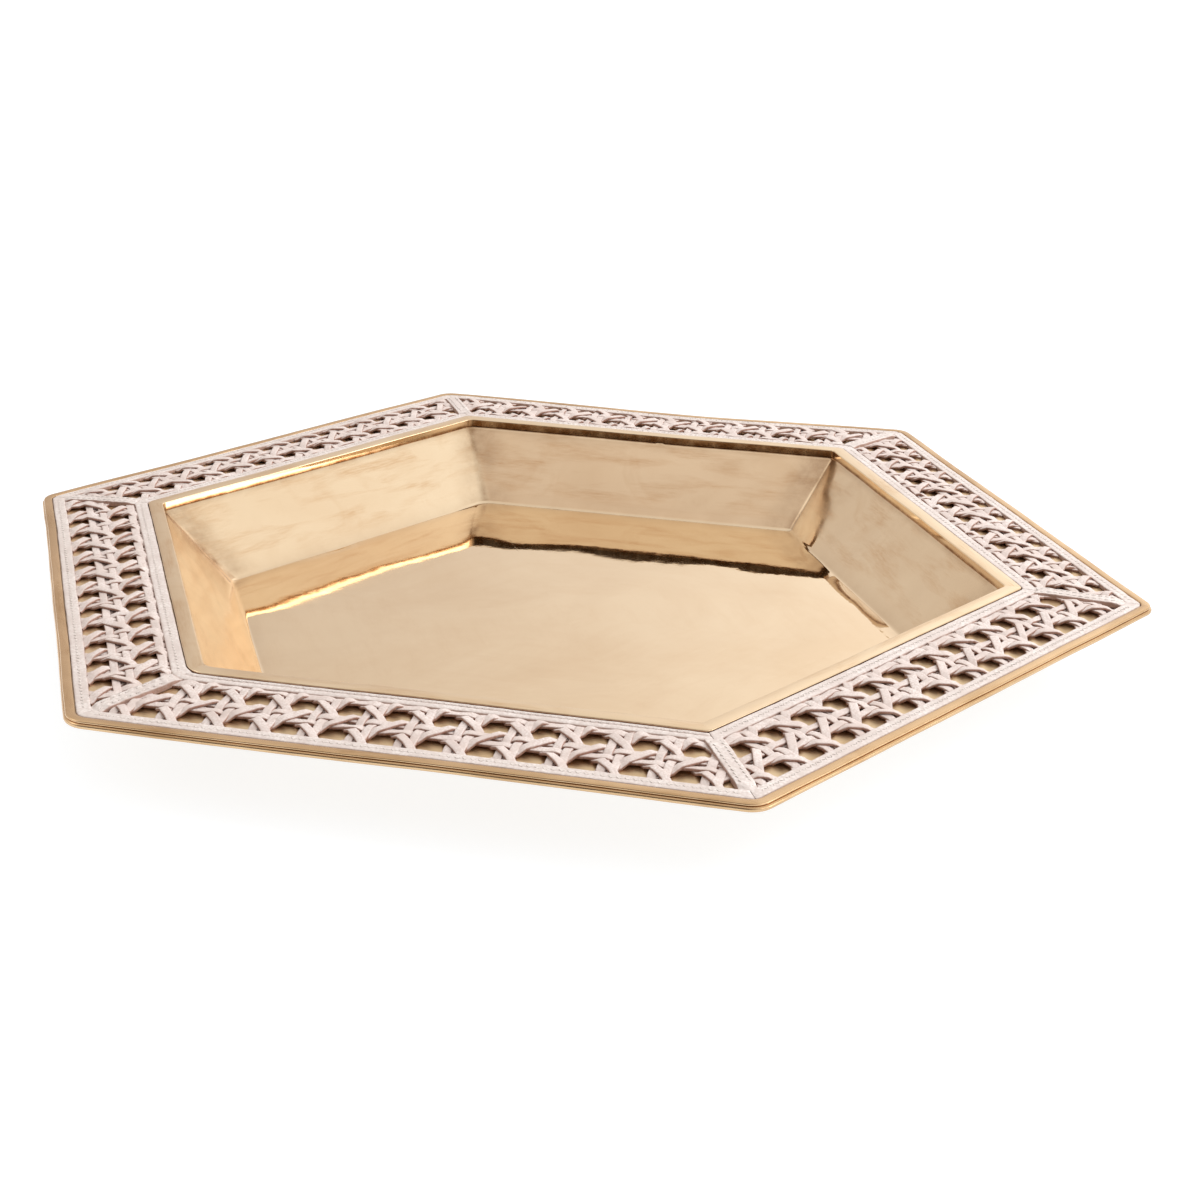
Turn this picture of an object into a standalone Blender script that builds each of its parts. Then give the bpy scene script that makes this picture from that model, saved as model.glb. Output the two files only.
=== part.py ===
"""Six-sided brass tray with a woven leather inlay round its rim.

The tray is a flat-bottomed pan under a wide rim. A collar lines the mouth of the pan and ends in a
raised lip, a border strip and an edge bead close the rim outside, and the leather lies between them:
an inner and an outer band, a strap across each corner and a woven cane panel along each side.
Origin: centre of the underside. +Z is up, the front side faces -Y and two corners lie on the X axis.
"""

import math

import bmesh
import bpy
from mathutils import Matrix

MM = 0.001
GAP = 0.3 * MM  # between pieces that touch

# Distances from the tray's centre to the middle of a side, for each line that runs round the tray.
FLOOR = 130.7 * MM
MOUTH = 157.3 * MM
LIP_OUTER = 163.4 * MM
LEATHER_INNER = LIP_OUTER + GAP
INNER_BAND_OUTER = 169.2 * MM
OUTER_BAND_INNER = 198.3 * MM
LEATHER_OUTER = 203.5 * MM
BORDER_INNER = LEATHER_OUTER + GAP
BORDER_OUTER = 207.2 * MM
RIM_OUTER = 208.0 * MM

# Heights above the table.
SHEET = 1.2 * MM
RIM_HEIGHT = 32.2 * MM  # top of the rim at the leather's outer edge
RIM_RISE = 2.0 * MM  # how much higher the rim is at the leather's inner edge
LIP_STANDS_PROUD = 0.3 * MM
COLLAR_BOTTOM = 30.9 * MM

# Depths below the sloping top of the rim.
LEATHER_PROUD = 0.35 * MM
STRAP_PROUD = 0.7 * MM
PANEL_PROUD = 0.6 * MM
RECESS_DEPTH = 1.8 * MM
PLATE_THICKNESS = 1.0 * MM
BORDER_STEP_DEPTH = 0.45 * MM
BEAD_BOTTOM_DEPTH = 2.9 * MM

PLATE_OUTER = 205.9 * MM
STRAP_WIDTH = 6.5 * MM
FLOOR_FILLET = 3.0 * MM
LIP_ROUNDING = 1.4 * MM

# The cane weave repeats on a square lattice of octagonal holes, two rows deep.
WEAVE_PITCH = 17.2 * MM
HOLE_WIDTH = 8.6 * MM
HOLE_CORNER = 2.5 * MM  # cut off each corner of the hole by a diagonal lace
HOLE_ROWS = (177.5 * MM, 192.9 * MM)
HOLES_PER_ROW = 12
HOLE_MARGIN = 1.0 * MM

# Corner radii on those lines round the tray. The front left corner was worked rounder than the rest.
RADIUS_LINES = (FLOOR, MOUTH, LIP_OUTER, LEATHER_OUTER, RIM_OUTER)
PLAIN_RADII = (3.0 * MM, 2.2 * MM, 3.5 * MM, 5.0 * MM, 9.0 * MM)
SOFT_RADII = (4.0 * MM, 7.0 * MM, 12.0 * MM, 6.5 * MM, 11.0 * MM)
SOFT_CORNER = 0
CORNER_STEPS = 6
FILLET_STEPS = 3

SIDES = ("front", "front_right", "back_right", "back", "back_left", "front_left")
CORNERS = ("front_left", "front_right", "right", "back_right", "back_left", "left")
COS_30 = math.cos(math.radians(30))
TAN_30 = math.tan(math.radians(30))

BRASS_BRIGHT = ((0.83, 0.60, 0.33, 1.0), 0.12, 1.0)
BRASS_SATIN = ((0.74, 0.52, 0.28, 1.0), 0.25, 1.0)
LEATHER_PALE = ((0.80, 0.74, 0.72, 1.0), 0.75, 0.0)
LEATHER_LACE = ((0.78, 0.72, 0.70, 1.0), 0.80, 0.0)


def side_angle(side):
    """Direction of a side's outward normal, in radians. Side 0 is the front."""
    return math.radians(270 + 60 * side)


def corner_angle(corner):
    """Direction of a corner from the centre. Corner n lies between side n - 1 and side n."""
    return math.radians(240 + 60 * corner)


def rim_top(apothem):
    """Height of the rim's sloping top at a distance from the centre."""
    slope = RIM_RISE / (LEATHER_OUTER - LEATHER_INNER)
    return RIM_HEIGHT + slope * (LEATHER_OUTER - apothem)


def corner_radius(apothem, corner):
    """Radius of a corner on the six-sided line at this distance from the centre."""
    radii = SOFT_RADII if corner == SOFT_CORNER else PLAIN_RADII
    if apothem <= RADIUS_LINES[0]:
        return radii[0]
    spans = zip(RADIUS_LINES, RADIUS_LINES[1:], radii, radii[1:])
    for low, high, first, last in spans:
        if apothem <= high:
            return first + (last - first) * (apothem - low) / (high - low)
    return radii[-1]


def corner_arc(apothem, corner, start, end):
    """Points along a corner's arc, from start to end as fractions of it."""
    radius = corner_radius(apothem, corner)
    middle = corner_angle(corner)
    reach = (apothem - radius) / COS_30
    steps = round(CORNER_STEPS * (end - start))
    points = []
    for step in range(steps + 1):
        share = start + (end - start) * step / steps
        turn = middle + math.radians(60) * (share - 0.5)
        x = reach * math.cos(middle) + radius * math.cos(turn)
        y = reach * math.sin(middle) + radius * math.sin(turn)
        points.append((x, y))
    return points


def hexagon_loop(apothem):
    """Closed six-sided line with rounded corners."""
    points = []
    for corner in range(6):
        points += corner_arc(apothem, corner, 0.0, 1.0)
    return points


def side_run(apothem, side):
    """The line along one side, from the middle of one corner to the middle of the next."""
    points = corner_arc(apothem, side, 0.5, 1.0) + corner_arc(apothem, (side + 1) % 6, 0.0, 0.5)
    along = side_angle(side) + math.radians(90)
    shift = 0.5 * GAP / COS_30
    for index, sign in ((0, 1), (-1, -1)):
        x, y = points[index]
        points[index] = (x + sign * shift * math.cos(along), y + sign * shift * math.sin(along))
    return points


def rounded(points, radii):
    """Profile of (distance, height) corners, with an arc in place of each corner that has a radius."""
    outline = []
    for index, (corner, radius) in enumerate(zip(points, radii)):
        if not radius:
            outline.append(corner)
            continue
        before = points[index - 1]
        after = points[(index + 1) % len(points)]
        angle_in = math.atan2(before[1] - corner[1], before[0] - corner[0])
        angle_out = math.atan2(after[1] - corner[1], after[0] - corner[0])
        opening = math.remainder(angle_out - angle_in, 2 * math.pi)
        half = abs(opening) / 2
        bisector = angle_in + opening / 2
        centre_x = corner[0] + radius / math.sin(half) * math.cos(bisector)
        centre_y = corner[1] + radius / math.sin(half) * math.sin(bisector)
        sweep = math.copysign(math.pi - 2 * half, -opening)
        first = bisector + math.pi - sweep / 2
        for step in range(FILLET_STEPS + 1):
            turn = first + sweep * step / FILLET_STEPS
            outline.append((centre_x + radius * math.cos(turn), centre_y + radius * math.sin(turn)))
    return outline


def material(name, look):
    """Principled material from (colour, roughness, metallic)."""
    colour, roughness, metallic = look
    made = bpy.data.materials.new(name)
    made.use_nodes = True
    shader = made.node_tree.nodes["Principled BSDF"]
    shader.inputs["Base Color"].default_value = colour
    shader.inputs["Roughness"].default_value = roughness
    shader.inputs["Metallic"].default_value = metallic
    made.diffuse_color = colour
    return made


def finish_object(name, bm, look, smooth=False):
    """Turn a bmesh into an object with its own material."""
    bmesh.ops.recalc_face_normals(bm, faces=bm.faces)
    mesh = bpy.data.meshes.new(name)
    bm.to_mesh(mesh)
    bm.free()
    if smooth:
        mesh.shade_smooth()
        mesh.set_sharp_from_angle(angle=math.radians(35))
    mesh.materials.append(material(name, look))
    made = bpy.data.objects.new(name, mesh)
    bpy.context.scene.collection.objects.link(made)
    return made


def add_loop(bm, apothem, height):
    return [bm.verts.new((x, y, height)) for x, y in hexagon_loop(apothem)]


def bridge(bm, first, second):
    count = len(first)
    for index in range(count):
        following = (index + 1) % count
        bm.faces.new((first[index], first[following], second[following], second[index]))


def ring(name, profile, look):
    """Sweep a closed profile of (distance, height) points round the tray."""
    bm = bmesh.new()
    loops = [add_loop(bm, apothem, height) for apothem, height in profile]
    for index, loop in enumerate(loops):
        bridge(bm, loop, loops[(index + 1) % len(loops)])
    return finish_object(name, bm, look, smooth=True)


def dish(name, profile, look):
    """Sweep an open profile round the tray and close it across the centre at both ends."""
    bm = bmesh.new()
    loops = [add_loop(bm, apothem, height) for apothem, height in profile]
    for first, second in zip(loops, loops[1:]):
        bridge(bm, first, second)
    bm.faces.new(loops[0])
    bm.faces.new(loops[-1])
    return finish_object(name, bm, look, smooth=True)


def well_pan():
    """Flat floor and six sloping walls, one sheet thick, up to the underside of the collar."""
    top = COLLAR_BOTTOM - GAP
    run = MOUTH - FLOOR
    rise = top - SHEET
    length = math.hypot(run, rise)
    across = SHEET * length / rise
    base = FLOOR + across - SHEET * run / rise
    corners = (
        (FLOOR - 4 * FLOOR_FILLET, SHEET),
        (FLOOR, SHEET),
        (MOUTH, top),
        (MOUTH + across, top),
        (base, 0.0),
        (base - 4 * FLOOR_FILLET, 0.0),
    )
    outer_fillet = FLOOR_FILLET + SHEET
    return dish("well_pan", rounded(corners, (0, FLOOR_FILLET, 0, 0, outer_fillet, 0)), BRASS_BRIGHT)


def mouth_collar():
    """Lip round the mouth and the upright collar that carries the pan."""
    top = rim_top(LIP_OUTER) + LIP_STANDS_PROUD
    back = MOUTH + SHEET
    seat = RECESS_DEPTH - GAP
    corners = (
        (MOUTH, COLLAR_BOTTOM),
        (back, COLLAR_BOTTOM),
        (back, rim_top(back) - seat),
        (LIP_OUTER, rim_top(LIP_OUTER) - seat),
        (LIP_OUTER, top),
        (MOUTH, top),
    )
    return ring("mouth_collar", rounded(corners, (0, 0, 0, 0, 0.5 * MM, LIP_ROUNDING)), BRASS_BRIGHT)


def rim_plate():
    """Plate under the leather, from the collar to the edge bead."""
    inner = MOUTH + SHEET + GAP
    top = RECESS_DEPTH
    bottom = RECESS_DEPTH + PLATE_THICKNESS
    profile = (
        (inner, rim_top(inner) - bottom),
        (PLATE_OUTER, rim_top(PLATE_OUTER) - bottom),
        (PLATE_OUTER, rim_top(PLATE_OUTER) - top),
        (inner, rim_top(inner) - top),
    )
    return ring("rim_plate", profile, BRASS_SATIN)


def rim_border():
    """Raised border strip outside the leather, with a thin edge that overhangs the bead."""
    seat = RECESS_DEPTH - GAP
    level = rim_top(BORDER_INNER)
    corners = (
        (BORDER_INNER, rim_top(BORDER_INNER) - seat),
        (PLATE_OUTER, rim_top(PLATE_OUTER) - seat),
        (PLATE_OUTER, level - BORDER_STEP_DEPTH),
        (BORDER_OUTER, level - BORDER_STEP_DEPTH),
        (BORDER_OUTER, level - 0.5 * BORDER_STEP_DEPTH),
        (BORDER_OUTER - 1.2 * MM, level),
        (BORDER_INNER, level),
    )
    return ring("rim_border", corners, BRASS_SATIN)


def edge_bead():
    """Rounded bead round the outer edge of the rim, under the border strip."""
    inner = PLATE_OUTER + GAP
    top = rim_top(BORDER_INNER) - BORDER_STEP_DEPTH - GAP
    bottom = rim_top(BORDER_INNER) - BEAD_BOTTOM_DEPTH
    corners = ((inner, bottom), (RIM_OUTER, bottom), (RIM_OUTER, top), (inner, top))
    return ring("edge_bead", rounded(corners, (0, 0.7 * MM, 0.7 * MM, 0)), BRASS_SATIN)


def leather_band(name, side, inner, outer):
    """Flat leather strip along one side, mitred at the corners."""
    bottom = RECESS_DEPTH - GAP
    bm = bmesh.new()
    rails = []
    section = ((inner, bottom), (outer, bottom), (outer, -LEATHER_PROUD), (inner, -LEATHER_PROUD))
    for apothem, depth in section:
        height = rim_top(apothem) - depth
        rails.append([bm.verts.new((x, y, height)) for x, y in side_run(apothem, side)])
    for index, rail in enumerate(rails):
        beside = rails[(index + 1) % len(rails)]
        for step in range(len(rail) - 1):
            bm.faces.new((rail[step], rail[step + 1], beside[step + 1], beside[step]))
    bm.faces.new([rail[0] for rail in rails])
    bm.faces.new([rail[-1] for rail in rails])
    return finish_object(name, bm, LEATHER_PALE)


def corner_tip(apothem, corner):
    """How far a rounded corner reaches from the centre."""
    radius = corner_radius(apothem, corner)
    return (apothem - radius) / COS_30 + radius


def corner_strap(corner):
    """Leather strap across the rim at a corner, with pointed ends that fit between the bands."""
    half = STRAP_WIDTH / 2
    start = INNER_BAND_OUTER / COS_30 + 2 * GAP
    end = corner_tip(OUTER_BAND_INNER, corner) - 2 * GAP
    outline = (
        (start, 0.0),
        (start - half * TAN_30, -half),
        (end - half * TAN_30 - GAP, -half),
        (end, 0.0),
        (end - half * TAN_30 - GAP, half),
        (start - half * TAN_30, half),
    )
    angle = corner_angle(corner)
    bottom = RECESS_DEPTH - GAP
    bm = bmesh.new()
    layers = []
    for depth in (bottom, -STRAP_PROUD):
        layer = []
        for reach, across in outline:
            x = reach * math.cos(angle) - across * math.sin(angle)
            y = reach * math.sin(angle) + across * math.cos(angle)
            layer.append(bm.verts.new((x, y, rim_top(reach * COS_30) - depth)))
        layers.append(layer)
    bridge(bm, layers[0], layers[1])
    for layer in layers:
        bm.faces.new(layer)
    return finish_object("corner_strap_" + CORNERS[corner], bm, LEATHER_PALE)


def half_length(apothem):
    """Half the length of a cane panel at a distance from the centre, between its two straps."""
    return apothem * TAN_30 - (STRAP_WIDTH / 2 + GAP) / COS_30


def prism(bm, outline, low, high):
    """Closed prism on an outline of (along, outward) points."""
    layers = [[bm.verts.new((x, y, z)) for x, y in outline] for z in (low, high)]
    bridge(bm, layers[0], layers[1])
    bm.faces.new(layers[0])
    bm.faces.new(layers[1])


def hole_outline(along, outward):
    """Octagonal hole of the weave."""
    half = HOLE_WIDTH / 2
    short = half - HOLE_CORNER
    turns = ((half, short), (short, half), (-short, half), (-half, short))
    points = [(along + x, outward + y) for x, y in turns]
    return points + [(along - x, outward - y) for x, y in turns]


def hole_places():
    """Centres of the holes that fit whole between the straps."""
    for outward in HOLE_ROWS:
        reach = half_length(outward - HOLE_WIDTH / 2) - HOLE_WIDTH / 2 - HOLE_MARGIN
        for index in range(HOLES_PER_ROW):
            along = (index - (HOLES_PER_ROW - 1) / 2) * WEAVE_PITCH
            if abs(along) < reach:
                yield along, outward


def cane_panel(side):
    """Woven panel along one side: a sloping plate with the weave's octagonal holes cut through it."""
    name = "cane_panel_" + SIDES[side]
    inner = INNER_BAND_OUTER + GAP
    outer = OUTER_BAND_INNER - GAP
    bottom = -(RECESS_DEPTH - GAP)
    plate = bmesh.new()
    outline = (
        (-half_length(inner), 0.0),
        (half_length(inner), 0.0),
        (half_length(outer), outer - inner),
        (-half_length(outer), outer - inner),
    )
    prism(plate, outline, bottom, PANEL_PROUD)
    panel = finish_object(name, plate, LEATHER_LACE)

    holes = bmesh.new()
    for along, outward in hole_places():
        prism(holes, hole_outline(along, outward - inner), 2 * bottom, 3 * PANEL_PROUD)
    cutter = finish_object("holes_" + SIDES[side], holes, LEATHER_LACE)
    cutter.hide_render = True
    cutter.display_type = "WIRE"

    tilt = math.atan2(RIM_RISE, LEATHER_OUTER - LEATHER_INNER)
    place = Matrix.Rotation(side_angle(side) - math.radians(90), 4, "Z")
    place = place @ Matrix.Translation((0.0, inner, rim_top(inner))) @ Matrix.Rotation(-tilt, 4, "X")
    panel.matrix_world = place
    cutter.matrix_world = place
    cut = panel.modifiers.new("holes", "BOOLEAN")
    cut.operation = "DIFFERENCE"
    cut.solver = "EXACT"
    cut.object = cutter
    return panel


def main():
    for old in list(bpy.data.objects):
        bpy.data.objects.remove(old)
    well_pan()
    mouth_collar()
    rim_plate()
    rim_border()
    edge_bead()
    for side, place in enumerate(SIDES):
        leather_band("inner_band_" + place, side, LEATHER_INNER, INNER_BAND_OUTER)
        leather_band("outer_band_" + place, side, OUTER_BAND_INNER, LEATHER_OUTER)
        cane_panel(side)
    for corner in range(6):
        corner_strap(corner)


main()
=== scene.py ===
"""Looks of the six-sided brass tray with a woven leather inlay round its rim.

Brass pieces are profiles of (distance, height, mark) swept round the tray. Leather pieces are bands and
straps with their stitches, and panels of laces that really go over and under each other.
"""

import math
import random

import bpy
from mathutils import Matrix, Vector, noise


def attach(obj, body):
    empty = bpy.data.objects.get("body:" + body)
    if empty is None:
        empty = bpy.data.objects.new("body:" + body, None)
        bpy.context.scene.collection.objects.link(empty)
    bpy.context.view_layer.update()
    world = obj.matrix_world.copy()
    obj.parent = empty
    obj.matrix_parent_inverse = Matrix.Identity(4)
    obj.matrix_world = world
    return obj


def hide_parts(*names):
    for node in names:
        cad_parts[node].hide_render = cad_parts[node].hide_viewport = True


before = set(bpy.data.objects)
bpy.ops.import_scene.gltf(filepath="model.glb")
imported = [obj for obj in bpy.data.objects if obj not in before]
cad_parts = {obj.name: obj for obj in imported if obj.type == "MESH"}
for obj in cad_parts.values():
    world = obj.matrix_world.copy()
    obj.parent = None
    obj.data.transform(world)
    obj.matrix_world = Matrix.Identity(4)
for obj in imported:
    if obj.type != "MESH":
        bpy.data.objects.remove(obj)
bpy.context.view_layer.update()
noise.seed_set(5)  # the offsets of noise_vector come from this seed

MM = 0.001

# Distances from the tray's centre to the middle of a side, for each line that runs round the tray.
FLOOR = 130.7 * MM
MOUTH = 157.3 * MM
LIP_OUTER = 163.4 * MM
LEATHER_INNER = 163.7 * MM
INNER_BAND_OUTER = 169.2 * MM
OUTER_BAND_INNER = 198.3 * MM
LEATHER_OUTER = 203.5 * MM
BORDER_INNER = 203.7 * MM
BORDER_OUTER = 207.2 * MM
RIM_OUTER = 208.0 * MM

# Heights above the table, and depths below the sloping top of the rim.
SHEET = 1.2 * MM
RIM_HEIGHT = 32.2 * MM
RIM_RISE = 2.0 * MM
COLLAR_BOTTOM = 31.1 * MM
LIP_STANDS_PROUD = 0.3 * MM
PLATE_DEPTH = 1.8 * MM
PLATE_THICKNESS = 1.0 * MM
BEAD_BOTTOM_DEPTH = 2.9 * MM

# The cane weave: pairs of laces along and across the rim, holes between them, and diagonals over both.
WEAVE_PITCH = 17.2 * MM
WEAVE_SHIFT = -1.6 * MM
HOLE_ROWS = (177.5 * MM, 194.7 * MM)
PAIR_ROWS = (168.9 * MM, 186.1 * MM, 203.3 * MM)
ALONG_SPREAD = 2.5 * MM  # half the distance between the two laces of a pair along the side
ACROSS_SPREAD = 2.05 * MM  # the same for a pair across the rim
LACE_WIDTH = 3.2 * MM
LACE_THICKNESS = 1.05 * MM
LACE_TUCK = 1.6 * MM  # how far laces reach under the straps

BACK_SAG = 1.3 * MM  # how far the rim hangs in the middle of the back side

STRAP_WIDTH = 6.5 * MM
STRAP_DROP = 0.35 * MM
STITCH_PITCH = 1.35 * MM
STITCH_LEAN = 48  # degrees, to either side in turn

# Corner radii on five of the lines round the tray, from the floor to the outer edge.
RADIUS_LINES = (FLOOR, MOUTH, LIP_OUTER, LEATHER_OUTER, RIM_OUTER)
PLAIN_RADII = (3.0 * MM, 2.2 * MM, 3.5 * MM, 5.0 * MM, 9.0 * MM)
BENT_RADII = (8.0 * MM, 3.4 * MM, 3.8 * MM, 5.0 * MM, 9.0 * MM)
SOFT_RADII = (4.0 * MM, 7.0 * MM, 12.0 * MM, 6.5 * MM, 11.0 * MM)
CORNER_RADII = (SOFT_RADII, PLAIN_RADII, PLAIN_RADII, PLAIN_RADII, BENT_RADII, BENT_RADII)

SIDES = ("front", "front_right", "back_right", "back", "back_left", "front_left")
CORNERS = ("front_left", "front_right", "right", "back_right", "back_left", "left")
COS_30 = math.cos(math.radians(30))
TAN_30 = math.tan(math.radians(30))
ARC_STEPS = 10
SIDE_STEPS = 64
SIDE_SPACING = 0.4  # keeps the streaks of one side apart from those of the next
UP = Vector((0, 0, 1))


def smooth(low, high, value):
    """0 below low, 1 above high and an even curve between."""
    share = min(1.0, max(0.0, (value - low) / (high - low)))
    return share * share * (3 - 2 * share)


def side_angle(side):
    """Direction of a side's outward normal, in radians. Side 0 is the front."""
    return math.radians(270 + 60 * side)


def corner_angle(corner):
    """Direction of a corner from the centre. Corner n lies between side n - 1 and side n."""
    return math.radians(240 + 60 * corner)


def axes(angle):
    """Unit vectors outward in a direction, and square to it, counter-clockwise."""
    out = Vector((math.cos(angle), math.sin(angle), 0))
    along = Vector((-math.sin(angle), math.cos(angle), 0))
    return out, along


def rim_top(apothem):
    """Height of the rim's sloping top at a distance from the centre."""
    slope = RIM_RISE / (LEATHER_OUTER - LEATHER_INNER)
    return RIM_HEIGHT + slope * (LEATHER_OUTER - apothem)


def corner_radius(apothem, corner):
    """Radius of a corner on the six-sided line at this distance from the centre."""
    radii = CORNER_RADII[corner]
    if apothem <= RADIUS_LINES[0]:
        return radii[0] * max(0.05, apothem / RADIUS_LINES[0])
    for low, high, first, last in zip(RADIUS_LINES, RADIUS_LINES[1:], radii, radii[1:]):
        if apothem <= high:
            return first + (last - first) * (apothem - low) / (high - low)
    return radii[-1]


def corner_tip(apothem, corner):
    """How far a rounded corner reaches from the centre."""
    radius = corner_radius(apothem, corner)
    return (apothem - radius) / COS_30 + radius


def corner_arc(apothem, corner, start, end):
    """Points along a corner's arc, from start to end as fractions of it."""
    radius = corner_radius(apothem, corner)
    middle = corner_angle(corner)
    reach = (apothem - radius) / COS_30
    steps = round(ARC_STEPS * (end - start))
    points = []
    for step in range(steps + 1):
        turn = middle + math.radians(60) * (start + (end - start) * step / steps - 0.5)
        x = reach * math.cos(middle) + radius * math.cos(turn)
        y = reach * math.sin(middle) + radius * math.sin(turn)
        points.append(Vector((x, y, 0.0)))
    return points


def straight(first, last, steps):
    """Points strictly between two ends."""
    return [first.lerp(last, step / steps) for step in range(1, steps)]


def hexagon_loop(apothem):
    """Closed six-sided line with rounded corners and finely divided sides."""
    points = []
    for corner in range(6):
        arc = corner_arc(apothem, corner, 0.0, 1.0)
        following = corner_arc(apothem, (corner + 1) % 6, 0.0, 1.0)
        points += arc + straight(arc[-1], following[0], SIDE_STEPS)
    return points


def side_run(apothem, side):
    """The line along one side, from the middle of one corner to the middle of the next."""
    following = (side + 1) % 6
    first = corner_arc(apothem, side, 0.5, 1.0)
    last = corner_arc(apothem, following, 0.0, 0.5)
    along = axes(side_angle(side))[1]
    first[0] = first[0] + along * SEAM_GAPS[side] / COS_30
    last[-1] = last[-1] - along * SEAM_GAPS[following] / COS_30
    return first + straight(first[-1], last[0], BAND_STEPS) + last


def hand_made(point):
    """Shift a point by the small unevenness of hand work, which fades out towards the base."""
    lift = smooth(0.0, 0.03, point.z)
    flow = noise.noise_vector(point * 7.0 + Vector((3.1, 7.7, 1.3)))
    fine = noise.noise_vector(point * 24.0 + Vector((9.2, 0.4, 5.1)))
    moved = point + flow * (0.7 * MM * lift) + fine * (0.22 * MM * lift)
    sag = smooth(0.12, 0.2, point.y) * (1 - smooth(0.0, 0.115, abs(point.x - 0.01)))
    moved.z -= BACK_SAG * sag * lift
    return moved


def side_place(point):
    """A point as distance along the nearest side, distance from the centre and height."""
    side = round((math.degrees(math.atan2(point.y, point.x)) - 270) / 60) % 6
    angle = side_angle(side)
    outward = point.x * math.cos(angle) + point.y * math.sin(angle)
    along = point.y * math.cos(angle) - point.x * math.sin(angle)
    return along + side * SIDE_SPACING, outward, point.z


class Builder:
    """Collects the vertices, faces and per-point marks of one piece."""

    def __init__(self):
        self.points = []
        self.faces = []
        self.marks = []

    def add(self, point, mark=0.0):
        self.points.append(point)
        self.marks.append(mark)
        return len(self.points) - 1

    def quads(self, first, second, closed=True):
        count = len(first)
        for index in range(count if closed else count - 1):
            following = (index + 1) % count
            self.faces.append((first[index], first[following], second[following], second[index]))

    def cap(self, row):
        self.faces.append(tuple(row))

    def skin_rails(self, rails):
        """Close a strip from its lengthwise rails, in order round its section."""
        for first, second in zip(rails, rails[1:]):
            self.quads(first, second, closed=False)
        self.quads(rails[-1], rails[0], closed=False)
        self.cap([rail[0] for rail in rails])
        self.cap([rail[-1] for rail in rails])

    def skin_rows(self, rows):
        """Close a lace or thread from its sections, in order along it."""
        for first, second in zip(rows, rows[1:]):
            self.quads(first, second)
        self.cap(rows[0])
        self.cap(rows[-1])

    def make(self, name, material, sharp=40):
        mesh = bpy.data.meshes.new(name)
        mesh.from_pydata([tuple(hand_made(p)) for p in self.points], [], self.faces)
        mesh.validate()
        mark = mesh.attributes.new("mark", "FLOAT", "POINT")
        mark.data.foreach_set("value", self.marks)
        lay = mesh.attributes.new("lay", "FLOAT_VECTOR", "POINT")
        lay.data.foreach_set("vector", [part for p in self.points for part in side_place(p)])
        mesh.materials.append(material)
        piece = bpy.data.objects.new(name, mesh)
        bpy.context.scene.collection.objects.link(piece)
        bpy.context.view_layer.objects.active = piece
        piece.select_set(True)
        bpy.ops.object.mode_set(mode="EDIT")
        bpy.ops.mesh.select_all(action="SELECT")
        bpy.ops.mesh.normals_make_consistent(inside=False)
        bpy.ops.object.mode_set(mode="OBJECT")
        piece.select_set(False)
        mesh.shade_smooth()
        mesh.set_sharp_from_angle(angle=math.radians(sharp))
        return piece


# ---------------------------------------------------------------- materials


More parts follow.
